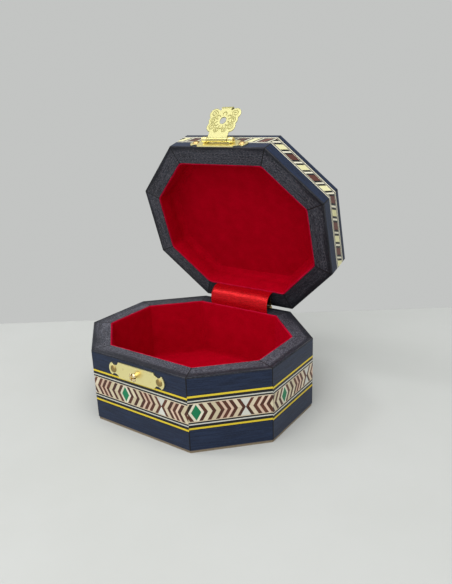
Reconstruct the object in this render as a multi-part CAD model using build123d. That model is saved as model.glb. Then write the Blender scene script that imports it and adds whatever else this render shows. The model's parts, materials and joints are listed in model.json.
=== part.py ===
from build123d import *
import math
import os

# A small lidded box of glued wooden staves on a stretched-octagon plan, with a marquetry band let
# into its sides, a felt lining, a brass butt hinge, a ribbon stay and a brass hasp.
# Millimetres. +Z is up, the hasp side faces -Y, and the origin is the centre of the underside.
# The lid is modelled shut and then swung open about its hinge pin, which is the rest position.

# ---- plan and heights ----
width = 120.0
depth = 100.0
corner_cut = 29.0
sole_thickness = 1.2
side_height = 39.0
box_height = sole_thickness + side_height
lid_height = 18.0
lid_gap = 0.15
wall = 9.7
felt = 0.9
sole_inset = 0.4
base_thickness = 4.0
lid_board_thickness = 2.7
floor_level = sole_thickness + base_thickness
lid_bottom = box_height + lid_gap
lid_top = lid_bottom + lid_height

# ---- edges ----
stave_corner_radius = 0.5
rim_radius = 0.6
foot_radius = 0.6
lid_top_radius = 1.0

# ---- marquetry ----
inlay_depth = 1.0
box_band_width = 18.4
box_band_middle = sole_thickness + side_height / 2
box_band_rise = {"front_right": 0.9, "right": 0.4}  # the hand-glued strips don't meet in line
lid_band_width = 7.9
lid_band_middle = lid_bottom + 10.6
top_inlay_inset = 7.0
top_inlay_depth = 0.9

# ---- lid positions ----
lid_open_angle = 73.0
hasp_open_angle = 143.0

# ---- butt hinge: its whole closed thickness is let into the rim of the back stave ----
hinge_length = 34.0
hinge_leaf_thickness = 0.7
hinge_mortise_depth = 1.6
mortise_clearance = 0.1
hinge_leaf_reach = 5.6
hinge_knuckles = 5
knuckle_gap = 0.3
knuckle_radius = 1.3
hinge_pin_radius = 0.6
running_clearance = 0.03
hinge_pin_stand_off = 1.2
hinge_y = depth / 2 + hinge_pin_stand_off
hinge_z = box_height - hinge_mortise_depth / 2
hinge_nail_spacing = 22.0
hinge_nail_head_radius = 1.1
hinge_nail_head_height = 0.3
hinge_nail_shank_radius = 0.5
hinge_nail_length = 5.0

# ---- latch plates, on the middle of the front ----
plate_thickness = 0.7
plate_height = 8.5
plate_nail_spacing = 30.1
plate_end_x = 14.2
plate_end_radius = 4.0
plate_notch_radius = 2.6
plate_notch_z = 4.85
strike_z = box_height - 6.5
hasp_plate_z = lid_bottom + 4.3

# ---- hasp ----
hasp_sheet = 0.7
hasp_face_gap = 1.0
roll_radius = 1.45
roll_half_length = 6.6
hasp_pin_radius = 0.7
ear_width = 3.2
ear_gap = 0.3
hasp_axis_out = hasp_face_gap + roll_radius
hasp_hole_radius = 2.0
hasp_drop = hasp_plate_z - strike_z
lip_radius = 1.1
lip_half_length = 3.5
lip_drop = 18.7
lip_wall = 0.6
leaf_disc_radius = 7.4
leaf_neck = (12.6, 6.4)
leaf_lobes = [(5.9, 3.7, 3.3), (6.3, -0.2, 3.0), (6.7, -4.2, 3.3)]  # x, height over the hole, radius

# ---- snap stud ----
stud_root_radius = 1.0
stud_root_depth = 3.0
stud_neck_radius = 1.35
stud_neck_top = 1.9
stud_bulb_radius = 1.85
stud_bulb_height = 2.6
stud_tip_radius = 0.6
stud_height = 3.7
stud_slot = 0.45
stud_slot_depth = 2.2

# ---- nails ----
nail_head_radius = 2.0
nail_head_height = 1.0
nail_shank_radius = 0.6
nail_shank_length = 5.0
nail_point_length = 1.5
nail_point_radius = 0.1

# ---- ribbon stay ----
ribbon_width = 40.0
ribbon_thickness = 0.3
ribbon_tail = 8.0
ribbon_bulge = 3.4

SIDES = ["front", "front_right", "right", "back_right", "back", "back_left", "left", "front_left"]
HINGE_AXIS = Axis((0, hinge_y, hinge_z), (1, 0, 0))
parts = {}


# ---- shared shapes ----
def octagon(inset):
    """Corners of the plan, moved in by inset on every side, from the front's left end rightwards."""
    a = width / 2 - inset
    b = depth / 2 - inset
    c = corner_cut - inset * (2 - math.sqrt(2))
    return [
        (-a + c, -b), (a - c, -b), (a, -b + c), (a, b - c),
        (a - c, b), (-a + c, b), (-a, b - c), (-a, -b + c),
    ]


def prism(points, low, high):
    outline = make_face(Polyline(*points, close=True))
    return extrude(Pos(0, 0, low) * outline, amount=high - low, dir=(0, 0, 1))


def octagon_ring(outer_inset, inner_inset, low, high):
    return prism(octagon(outer_inset), low, high) - prism(octagon(inner_inset), low - 1, high + 1)


def stave_sector(side, low, high):
    """The space of one side between the mitre planes at its two ends."""
    outer = octagon(-5)
    inner = octagon(20)
    after = (side + 1) % len(SIDES)
    return prism([outer[side], outer[after], inner[after], inner[side]], low - 1, high + 1)


def rounded_body(low, high, low_radius, high_radius):
    """The solid plan between two heights, with softened corners and edges."""
    body = prism(octagon(0), low, high)
    body = fillet(body.edges().filter_by(Axis.Z), stave_corner_radius)
    body = fillet(body.faces().sort_by(Axis.Z)[-1].edges(), high_radius)
    return fillet(body.faces().sort_by(Axis.Z)[0].edges(), low_radius)


def block(x, y, z):
    """A box between pairs of x, y and z limits."""
    centre = ((x[0] + x[1]) / 2, (y[0] + y[1]) / 2, (z[0] + z[1]) / 2)
    return Pos(*centre) * Box(x[1] - x[0], y[1] - y[0], z[1] - z[0])


def rod_x(x, y, z, radius):
    """A round bar along X between two x limits."""
    return Pos((x[0] + x[1]) / 2, y, z) * Rot(0, 90, 0) * Cylinder(radius, x[1] - x[0])


def front_plane(height):
    """Drawing plane on the front face: u to the right, v up, w outwards."""
    return Plane(origin=(0, -depth / 2, height), x_dir=(1, 0, 0), z_dir=(0, -1, 0))


def swing_lid(shape):
    return shape.rotate(HINGE_AXIS, -lid_open_angle)


# ---- latch plates and their nails ----
def plate_outline():
    """A bar with bowed ends, nipped in above and below each nail."""
    outline = Rectangle(2 * plate_end_x, plate_height)
    for end in (-1, 1):
        outline += Pos(end * plate_end_x, 0) * Circle(plate_end_radius)
    for end in (-1, 1):
        for edge in (-1, 1):
            outline -= Pos(end * plate_end_x, edge * plate_notch_z) * Circle(plate_notch_radius)
    return outline


def domed_nail():
    """A round-headed pin standing in the w direction, with the underside of its head at w = 0."""
    sphere_radius = (nail_head_radius**2 + nail_head_height**2) / (2 * nail_head_height)
    dome = Pos(0, 0, nail_head_height - sphere_radius) * Sphere(sphere_radius)
    head = dome & Pos(0, 0, nail_head_height / 2) * Cylinder(nail_head_radius, nail_head_height)
    shank = Pos(0, 0, -nail_shank_length / 2) * Cylinder(nail_shank_radius, nail_shank_length)
    point = Rot(180, 0, 0) * Cone(nail_shank_radius, nail_point_radius, nail_point_length)
    return head + shank + Pos(0, 0, -nail_shank_length - nail_point_length / 2) * point


def plate_nails(height):
    place = front_plane(height)
    nails = []
    for end in (-1, 1):
        where = Location((end * plate_nail_spacing / 2, 0, plate_thickness))
        nails.append(place.location * where * domed_nail())
    return nails


def drilled_plate(height):
    plate = extrude(plate_outline(), amount=plate_thickness)
    for end in (-1, 1):
        plate -= Pos(end * plate_nail_spacing / 2, 0, 0) * Cylinder(nail_shank_radius, 4 * plate_thickness)
    return front_plane(height).location * plate


def snap_stud():
    """A split post whose bulb springs through the hasp's hole."""
    root = (0, -stud_root_depth)
    shoulder = (stud_neck_radius, plate_thickness)
    neck = (stud_neck_radius, stud_neck_top)
    bulb = (stud_bulb_radius, stud_bulb_height)
    tip = (stud_tip_radius, stud_height)
    profile = make_face(
        Polyline(root, (stud_root_radius, root[1]), (stud_root_radius, plate_thickness), shoulder, neck)
        + ThreePointArc(neck, bulb, tip)
        + Polyline(tip, (0, stud_height), root)
    )
    stud = revolve(Plane.XZ * profile, Axis.Z)
    slot = Pos(0, 0, stud_height) * Box(4 * stud_bulb_radius, stud_slot, 2 * stud_slot_depth)
    for turn in (45, 135):
        stud -= Rot(0, 0, turn) * slot
    return front_plane(strike_z).location * stud


def strike_plate():
    plate = drilled_plate(strike_z)
    return plate - front_plane(strike_z).location * Cylinder(stud_root_radius, 4 * plate_thickness)


# ---- hasp: plate with two ears, pin and swinging leaf ----
def ring_x(x, outer, inner):
    return rod_x(x, 0, 0, outer) - rod_x((x[0] - 1, x[1] + 1), 0, 0, inner)


def hasp_place():
    """Local frame with X along the hasp pin, -Y outwards and Z up, on the shut lid."""
    return Location((0, -depth / 2 - hasp_axis_out, hasp_plate_z))


def hasp_plate():
    plate = drilled_plate(hasp_plate_z)
    bore = hasp_pin_radius + running_clearance
    for end in (-1, 1):
        near = end * (roll_half_length + ear_gap)
        far = end * (roll_half_length + ear_gap + ear_width)
        span = (min(near, far), max(near, far))
        ear = ring_x(span, roll_radius, bore)
        ear += block(span, (0, hasp_axis_out - plate_thickness / 2), (bore, roll_radius))
        plate += hasp_place() * ear
    return plate


def hasp_pin():
    reach = roll_half_length + ear_gap + ear_width + 0.2
    return hasp_place() * rod_x((-reach, reach), 0, 0, hasp_pin_radius)


def leaf_outline():
    """The leaf seen from the front, hanging from the pin at v = 0."""
    outline = Pos(0, -hasp_drop) * Circle(leaf_disc_radius)
    outline += Pos(0, -leaf_neck[1] / 2) * Rectangle(*leaf_neck)
    outline += Pos(0, (-lip_drop - hasp_drop) / 2) * Rectangle(2 * lip_half_length, lip_drop - hasp_drop)
    for side in (-1, 1):
        for x, rise, radius in leaf_lobes:
            outline += Pos(side * x, rise - hasp_drop) * Circle(radius)
    return outline - Pos(0, -hasp_drop) * Circle(hasp_hole_radius)


def hasp_leaf():
    bore = hasp_pin_radius + running_clearance
    sheet = Location((0, roll_radius, 0)) * Rot(90, 0, 0) * extrude(leaf_outline(), amount=hasp_sheet)
    roll = (-roll_half_length, roll_half_length)
    lip_span = (-lip_half_length, lip_half_length)
    lip = Pos(0, roll_radius - lip_radius, -lip_drop) * ring_x(lip_span, lip_radius, lip_radius - lip_wall)
    leaf = sheet - rod_x((-9, 9), 0, 0, roll_radius - 0.01)
    leaf = leaf + ring_x(roll, roll_radius, bore) + lip
    return hasp_place() * leaf.rotate(Axis.X, -hasp_open_angle)


# ---- butt hinge ----
def knuckle_spans():
    """The x limits of each knuckle, from left to right."""
    pitch = hinge_length / hinge_knuckles
    starts = [-hinge_length / 2 + pitch * n for n in range(hinge_knuckles)]
    return [(x + knuckle_gap / 2, x + pitch - knuckle_gap / 2) for x in starts]


def hinge_leaf(own, other, low, high):
    """A flat leaf with its own knuckles round the pin, cut back from the other leaf's knuckles."""
    half = hinge_length / 2
    leaf = block((-half, half), (depth / 2 - hinge_leaf_reach, hinge_y), (low, high))
    for span in other:
        room = (span[0] - knuckle_gap, span[1] + knuckle_gap)
        leaf -= block(room, (hinge_y - knuckle_radius - 0.2, hinge_y + 2), (low - 1, high + 1))
    for span in own:
        leaf += rod_x(span, hinge_y, hinge_z, knuckle_radius)
    for nail in hinge_nails(low, high):
        leaf -= nail
    return leaf - rod_x((-half - 1, half + 1), hinge_y, hinge_z, hinge_pin_radius + running_clearance)


def hinge_nails(low, high):
    """Two flat-headed pins through a leaf, driven away from the other leaf."""
    into_box = high <= hinge_z
    head_z = high if into_box else low
    down = -1 if into_box else 1
    nails = []
    for end in (-1, 1):
        x = end * hinge_nail_spacing / 2
        y = depth / 2 - hinge_leaf_reach / 2
        head = Pos(x, y, head_z + down * hinge_nail_head_height / 2)
        head *= Cylinder(hinge_nail_head_radius, hinge_nail_head_height)
        shank = Pos(x, y, head_z + down * (hinge_nail_head_height + hinge_nail_length) / 2)
        shank *= Cylinder(hinge_nail_shank_radius, hinge_nail_length - hinge_nail_head_height)
        nails.append(head + shank)
    return nails


# ---- ribbon stay ----
def turned(y, z):
    """A point of the shut lid, moved to where it lies when the lid is open."""
    angle = math.radians(lid_open_angle)
    dy = y - hinge_y
    dz = z - hinge_z
    return (
        hinge_y + dy * math.cos(angle) + dz * math.sin(angle),
        hinge_z - dy * math.sin(angle) + dz * math.cos(angle),
    )


def ribbon():
    """A strip glued behind the felt of box and lid, bulging forwards between the two rims."""
    back = depth / 2 - wall - ribbon_thickness / 2
    start = (back, box_height - ribbon_tail)
    foot = (back, box_height)
    head = turned(back, lid_bottom)
    end = turned(back, lid_bottom + ribbon_tail)
    middle_y = (foot[0] + head[0]) / 2
    middle_z = (foot[1] + head[1]) / 2
    chord = math.hypot(head[0] - foot[0], head[1] - foot[1])
    out_y = -(head[1] - foot[1]) / chord
    out_z = (head[0] - foot[0]) / chord
    crest = (middle_y + out_y * ribbon_bulge, middle_z + out_z * ribbon_bulge)
    path = Polyline(start, foot) + ThreePointArc(foot, crest, head) + Polyline(head, end)
    print(f"ribbon: {path.length:.1f} mm long, {ribbon_width:.0f} mm wide, chord {chord:.1f} mm")
    strip = Wire(path.edges()).offset_2d(ribbon_thickness / 2, Kind.INTERSECTION)
    section = Plane.YZ * make_face(strip)
    return extrude(section, amount=ribbon_width / 2, both=True)


# ---- box carcass ----
def box_pieces():
    shell = rounded_body(sole_thickness, box_height, foot_radius, rim_radius)
    shell -= prism(octagon(wall), -1, box_height + 1)
    half = hinge_length / 2 + mortise_clearance
    mortise_front = depth / 2 - hinge_leaf_reach - mortise_clearance
    staves = shell - block((-half, half), (mortise_front, hinge_y + 5),
                           (box_height - hinge_mortise_depth, box_height + 1))
    for nail in box_leaf_nails + strike_nails:
        staves -= nail
    staves -= parts["snap_stud"]
    for number, side in enumerate(SIDES):
        sector = stave_sector(number, 0, box_height)
        middle = box_band_middle + box_band_rise.get(side, 0)
        groove = octagon_ring(-3, inlay_depth, middle - box_band_width / 2, middle + box_band_width / 2)
        parts["wall_" + side] = (staves & sector) - groove
        parts["inlay_" + side] = shell & sector & groove
    parts["sole_board"] = prism(octagon(sole_inset), 0, sole_thickness)
    parts["base_board"] = prism(octagon(wall), sole_thickness, floor_level)
    parts["floor_felt"] = prism(octagon(wall + felt), floor_level, floor_level + felt)
    lining = octagon_ring(wall, wall + felt, floor_level, box_height)
    parts["wall_felt"] = lining - parts["stay_ribbon"]


# ---- lid carcass, shut ----
def lid_pieces():
    shell = rounded_body(lid_bottom, lid_top, rim_radius, lid_top_radius)
    shell -= prism(octagon(wall), lid_bottom - 1, lid_top + 1)
    low = lid_band_middle - lid_band_width / 2
    high = lid_band_middle + lid_band_width / 2
    groove = octagon_ring(-3, inlay_depth, low, high)
    band = shell & groove
    top_sheet = prism(octagon(top_inlay_inset), lid_top - top_inlay_depth, lid_top)
    staves = shell - groove - top_sheet
    for nail in lid_leaf_nails + hasp_nails:
        staves -= nail
    pieces = {}
    for number, side in enumerate(SIDES):
        sector = stave_sector(number, lid_bottom, lid_top)
        pieces["lid_wall_" + side] = staves & sector
        pieces["lid_inlay_" + side] = band & sector
    board_high = lid_top - top_inlay_depth
    board_low = board_high - lid_board_thickness
    pieces["lid_board"] = prism(octagon(wall), board_low, board_high)
    pieces["lid_top_inlay"] = top_sheet
    pieces["lid_top_felt"] = prism(octagon(wall + felt), board_low - felt, board_low)
    pieces["lid_wall_felt"] = octagon_ring(wall, wall + felt, lid_bottom, board_low)
    return pieces


leaf_low = box_height - hinge_mortise_depth
box_leaf_limits = (leaf_low, leaf_low + hinge_leaf_thickness)
lid_leaf_limits = (lid_bottom - hinge_leaf_thickness, lid_bottom)
spans = knuckle_spans()
box_leaf_nails = hinge_nails(*box_leaf_limits)
lid_leaf_nails = hinge_nails(*lid_leaf_limits)
strike_nails = plate_nails(strike_z)
hasp_nails = plate_nails(hasp_plate_z)

parts["stay_ribbon"] = ribbon()
parts["snap_stud"] = snap_stud()
box_pieces()
parts["strike_plate"] = strike_plate()
parts["strike_nails"] = Compound(strike_nails)
parts["hinge_leaf_box"] = hinge_leaf(spans[0::2], spans[1::2], *box_leaf_limits)
parts["hinge_nails_box"] = Compound(box_leaf_nails)
parts["hinge_pin"] = rod_x((-hinge_length / 2, hinge_length / 2), hinge_y, hinge_z, hinge_pin_radius)

lid = lid_pieces()
lid["hinge_leaf_lid"] = hinge_leaf(spans[1::2], spans[0::2], *lid_leaf_limits)
lid["hinge_nails_lid"] = Compound(lid_leaf_nails)
lid["hasp_plate"] = hasp_plate()
lid["hasp_nails"] = Compound(hasp_nails)
lid["hasp_pin"] = hasp_pin()
lid["hasp_leaf"] = hasp_leaf()
for name, piece in lid.items():
    parts[name] = swing_lid(piece)
parts["lid_wall_felt"] -= parts["stay_ribbon"]

os.makedirs("parts", exist_ok=True)
for name, piece in parts.items():
    export_step(piece, os.path.join("parts", name + ".step"))
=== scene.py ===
"""Looks of a small felt-lined marquetry box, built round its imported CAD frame. Metres, +Z up."""
import json
import math
import random

import bpy
import numpy as np
from mathutils import Euler, Matrix, Vector, geometry, noise


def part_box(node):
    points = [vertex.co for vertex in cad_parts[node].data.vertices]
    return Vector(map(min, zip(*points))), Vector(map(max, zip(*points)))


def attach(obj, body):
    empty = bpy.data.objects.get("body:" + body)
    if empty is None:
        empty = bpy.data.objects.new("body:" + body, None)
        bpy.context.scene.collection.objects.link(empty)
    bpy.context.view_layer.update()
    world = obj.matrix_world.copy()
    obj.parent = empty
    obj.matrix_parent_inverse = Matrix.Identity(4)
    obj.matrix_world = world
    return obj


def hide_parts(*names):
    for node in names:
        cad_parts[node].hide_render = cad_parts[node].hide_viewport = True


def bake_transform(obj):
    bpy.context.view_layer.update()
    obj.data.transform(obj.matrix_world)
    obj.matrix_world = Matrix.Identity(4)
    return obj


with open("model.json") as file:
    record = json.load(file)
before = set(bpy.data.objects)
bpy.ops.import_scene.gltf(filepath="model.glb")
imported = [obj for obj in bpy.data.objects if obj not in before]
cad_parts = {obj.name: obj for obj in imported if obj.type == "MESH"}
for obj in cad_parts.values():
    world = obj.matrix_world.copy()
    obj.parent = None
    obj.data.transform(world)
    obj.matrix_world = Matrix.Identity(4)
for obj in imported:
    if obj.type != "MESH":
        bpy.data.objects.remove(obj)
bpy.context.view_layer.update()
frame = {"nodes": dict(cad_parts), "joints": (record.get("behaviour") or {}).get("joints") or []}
random.seed(7)

# ---- sizes taken from the frame ----
MM = 0.001
SIDES = ["front", "front_right", "right", "back_right", "back", "back_left", "left", "front_left"]
HALF_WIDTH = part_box("wall_right")[1].x
HALF_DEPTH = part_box("wall_back")[1].y
CORNER_CUT = 29 * MM
MITRE = math.radians(22.5)
BOX_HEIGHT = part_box("wall_front")[1].z
FLOOR_FELT_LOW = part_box("floor_felt")[0].z
FLOOR_FELT_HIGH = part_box("floor_felt")[1].z

# ---- sizes of the shut lid and of the parts' layers ----
LID_BOTTOM = BOX_HEIGHT + 0.15 * MM
LID_TOP = LID_BOTTOM + 18 * MM
LID_BAND_MIDDLE = LID_BOTTOM + 10.6 * MM
WALL = 9.7 * MM
FELT = 0.9 * MM
LID_FELT_LOW = LID_TOP - 4.5 * MM
LID_FELT_HIGH = LID_TOP - 3.6 * MM
INLAY_DEPTH = 0.95 * MM
TOP_INSET = 7 * MM

# ---- moving parts: each is made shut, then put where it rests ----
JOINTS = {joint["name"]: joint for joint in frame["joints"]}
LID_PIN = Vector(JOINTS["lid_hinge"]["pos_m"])
HASP_PIN = Vector(JOINTS["hasp_hinge"]["pos_m"])
LID_ANGLE = math.radians(-JOINTS["lid_hinge"]["range_deg"][0])
HASP_ANGLE = math.radians(-JOINTS["hasp_hinge"]["range_deg"][0])


def turn_about(pin, angle):
    """The turn about a pin along X that opens a lid or a leaf by an angle."""
    return Matrix.Translation(pin) @ Matrix.Rotation(-angle, 4, "X") @ Matrix.Translation(-pin)


LID = turn_about(LID_PIN, LID_ANGLE)
HASP = LID @ turn_about(LID.inverted() @ HASP_PIN, HASP_ANGLE)


# ---- plan ----
def octagon(inset):
    """Corners of the plan moved in by inset, from the front's left end round to the right."""
    a = HALF_WIDTH - inset
    b = HALF_DEPTH - inset
    c = CORNER_CUT - inset * (2 - math.sqrt(2))
    corners = [(-a + c, -b), (a - c, -b), (a, -b + c), (a, b - c)]
    corners += [(a - c, b), (-a + c, b), (-a, b - c), (-a, -b + c)]
    return [Vector((x, y, 0)) for x, y in corners]


def side_frame(number, inset=0.0):
    """Matrix and length of a side. The matrix takes (along, up, out) at its left end to the shut box."""
    corners = octagon(inset)
    start = corners[number]
    run = corners[(number + 1) % 8] - start
    along = run.normalized()
    up = Vector((0, 0, 1))
    columns = Matrix((along, up, along.cross(up))).transposed().to_4x4()
    return Matrix.Translation(start) @ columns, run.length


# ---- flat outlines ----
def area(outline):
    """Signed area, positive where the outline runs anticlockwise."""
    total = 0.0
    for (x0, y0), (x1, y1) in zip(outline, outline[1:] + outline[:1]):
        total += x0 * y1 - x1 * y0
    return total / 2


def clip(outline, nx, ny, limit):
    """The part of a convex outline where nx * x + ny * y is at most limit."""
    kept = []
    for p, q in zip(outline, outline[1:] + outline[:1]):
        p_over = nx * p[0] + ny * p[1] - limit
        q_over = nx * q[0] + ny * q[1] - limit
        if p_over <= 0:
            kept.append(p)
        if (p_over < 0 < q_over) or (q_over < 0 < p_over):
            t = p_over / (p_over - q_over)
            kept.append((p[0] + t * (q[0] - p[0]), p[1] + t * (q[1] - p[1])))
    return kept


def clip_to(outline, window):
    """The part of a convex outline inside a convex anticlockwise window."""
    for (x0, y0), (x1, y1) in zip(window, window[1:] + window[:1]):
        if len(outline) < 3:
            return []
        outline = clip(outline, y1 - y0, x0 - x1, (y1 - y0) * x0 + (x0 - x1) * y0)
    return outline


def without_repeats(outline):
    """The outline without the points that lie on the one before them."""
    kept = []
    for p in outline:
        if not kept or math.dist(p, kept[-1]) > 0.01 * MM:
            kept.append(p)
    if len(kept) > 1 and math.dist(kept[0], kept[-1]) <= 0.01 * MM:
        kept.pop()
    return kept


def inset_outline(outline, distance):
    """A convex anticlockwise outline with its edges moved in by distance, or an empty one."""
    lines = []
    for (x0, y0), (x1, y1) in zip(outline, outline[1:] + outline[:1]):
        length = math.hypot(x1 - x0, y1 - y0)
        nx, ny = (y0 - y1) / length, (x1 - x0) / length
        lines.append((nx, ny, nx * x0 + ny * y0 + distance))
    corners = []
    for (a0, b0, c0), (a1, b1, c1) in zip(lines[-1:] + lines[:-1], lines):
        det = a0 * b1 - a1 * b0
        if abs(det) < 1e-9:
            return []
        corners.append(((c0 * b1 - c1 * b0) / det, (a0 * c1 - a1 * c0) / det))
    for (x0, y0), (x1, y1), (p0, q0), (p1, q1) in zip(
        outline, outline[1:] + outline[:1], corners, corners[1:] + corners[:1]
    ):
        if (x1 - x0) * (p1 - p0) + (y1 - y0) * (q1 - q0) <= 0:
            return []
    return corners


# ---- meshes ----
GLUE_LINE = 0.05 * MM
TILE_CHAMFER = 0.05 * MM
TILE_UNEVEN = 0.04 * MM


class Solids:
    """Collects small solids into one mesh. Each has a material and a tone of its own."""

    def __init__(self, materials):
        self.materials = list(materials)
        self.points, self.faces, self.slots, self.tones = [], [], [], []

    def add(self, points, faces, material, tone=0.5):
        base = len(self.points)
        self.points += [Vector(p) for p in points]
        self.faces += [[base + i for i in face] for face in faces]
        self.slots += [self.materials.index(material)] * len(faces)
        self.tones += [tone] * len(faces)

    def tile(self, outline, place, material, depth=INLAY_DEPTH, lean=0.0, length=0.0):
        """A veneer piece with a softened top edge. Its back is cut in by lean where it meets a mitre."""
        outline = without_repeats(outline)
        if len(outline) < 3 or abs(area(outline)) < 0.02 * MM * MM:
            return
        if area(outline) < 0:
            outline = outline[::-1]
        side = inset_outline(outline, GLUE_LINE / 2)
        top = inset_outline(outline, GLUE_LINE / 2 + TILE_CHAMFER)
        if not side or not top:
            return
        height = random.uniform(-TILE_UNEVEN, 0)
        back = [(min(max(x, lean), length - lean) if lean else x, y) for x, y in side]
        levels = [(back, -depth), (side, height - TILE_CHAMFER), (top, height)]
        points = [place @ Vector((x, y, w)) for loop, w in levels for x, y in loop]
        self.add(points, stacked_faces(len(side), len(levels)), material, random.random())

    def finish(self, name):
        return make_object(name, self.points, self.faces, self.materials, self.slots, self.tones)


def stacked_faces(n, levels):
    """Faces of a solid with n points at each of its levels: the top, the bottom, then the sides."""
    faces = [[*range((levels - 1) * n, levels * n)], [*range(n - 1, -1, -1)]]
    for level in range(0, (levels - 1) * n, n):
        for i in range(n):
            j = (i + 1) % n
            faces.append([level + i, level + j, level + n + j, level + n + i])
    return faces


def make_object(name, points, faces, materials, slots=None, tones=None, smooth=False):
    """A mesh object in the scene. slots and tones have one value for each face."""
    mesh = bpy.data.meshes.new(name)
    mesh.from_pydata([tuple(p) for p in points], [], faces)
    for material in materials:
        mesh.materials.append(material)
    if slots:
        mesh.polygons.foreach_set("material_index", slots)
    if tones:
        mesh.attributes.new("tone", "FLOAT", "FACE").data.foreach_set("value", tones)
    mesh.polygons.foreach_set("use_smooth", [smooth] * len(faces))
    mesh.update()
    mesh.validate()
    piece = bpy.data.objects.new(name, mesh)
    bpy.context.scene.collection.objects.link(piece)
    return piece


# ---- materials ----
class Graph:
    """The node graph of one material. Each call adds a node and gives back one of its outputs."""

    def __init__(self, name, **surface):
        self.material = bpy.data.materials.new(name)
        self.material.use_nodes = True
        self.tree = self.material.node_tree
        self.shader = self.tree.nodes["Principled BSDF"]
        self.set(**surface)

    def link(self, socket, value):
        if isinstance(value, bpy.types.NodeSocket):
            self.tree.links.new(value, socket)
        elif socket.type == "RGBA":
            socket.default_value = (*value, 1)
        else:
            socket.default_value = value

    def set(self, **surface):
        for name, value in surface.items():
            self.link(self.shader.inputs[name.replace("_", " ")], value)

    def node(self, kind, output=0, inputs=(), **settings):
        node = self.tree.nodes.new("ShaderNode" + kind)
        for name, value in settings.items():
            setattr(node, name, value)
        for key, value in dict(inputs).items():
            self.link(node.inputs[key], value)
        return node.outputs[output]

    def place(self):
        return self.node("TexCoord", "Object")

    def moved(self, vector, location=(0, 0, 0), rotation=(0, 0, 0), scale=(1, 1, 1)):
        inputs = {"Vector": vector, "Location": location, "Rotation": rotation, "Scale": scale}
        return self.node("Mapping", 0, inputs)

    def noise(self, vector, scale=1.0, detail=3.0, roughness=0.5):
        inputs = {"Vector": vector, "Scale": scale, "Detail": detail, "Roughness": roughness}
        return self.node("TexNoise", 0, inputs)

    def math(self, operation, a, b=0.0):
        return self.node("Math", 0, {0: a, 1: b}, operation=operation)

    def between(self, value, low, high):
        """0 where value is at low, 1 at high, smooth in between."""
        inputs = {"Value": value, "From Min": low, "From Max": high}
        return self.node("MapRange", 0, inputs, interpolation_type="SMOOTHSTEP")

    def mix(self, factor, a, b):
        node = self.tree.nodes.new("ShaderNodeMix")
        node.data_type = "RGBA"
        for index, value in ((0, factor), (6, a), (7, b)):
            self.link(node.inputs[index], value)
        return node.outputs[2]

    def bump(self, height, distance, strength=1.0):
        inputs = {"Height": height, "Distance": distance, "Strength": strength}
        self.link(self.shader.inputs["Normal"], self.node("Bump", 0, inputs))


def axis(graph, vector, letter):
    """One coordinate of a vector: X, Y or Z."""
    return graph.node("SeparateXYZ", letter, {"Vector": vector})


def stave_place(graph, number, in_lid):
    """Coordinates in one stave: X along it, Y inwards from its face, Z into it from the rim."""
    matrix, length = side_frame(number)
    along = matrix.col[0].to_3d()
    out = matrix.col[2].to_3d()
    start = matrix.translation
    angle = math.atan2(along.y, along.x)
    vector = graph.place()
    if in_lid:
        shut = Euler((LID_ANGLE, 0, 0))
        offset = LID_PIN - shut.to_matrix() @ LID_PIN
        vector = graph.moved(vector, offset, shut)
        flip = 1
        rim = -LID_BOTTOM
    else:
        flip = -1
        rim = BOX_HEIGHT
    location = (-along.dot(start) - length / 2, out.dot(start), rim)
    return graph.moved(vector, location, (0, 0, -angle), (1, 1, flip))


# How much painted shade darkens each strip of a rim, standing in for the shadow the strips lie in. The
# strips nearest the hinge get most.
LID_RIM_PAINTED_SHADE = {"right": 0.45, "back_right": 0.68, "back": 0.72, "others": 0.36}
BOX_RIM_PAINTED_SHADE = {"back": 0.6, "back_right": 0.22, "back_left": 0.3, "others": 0.0}


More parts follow.
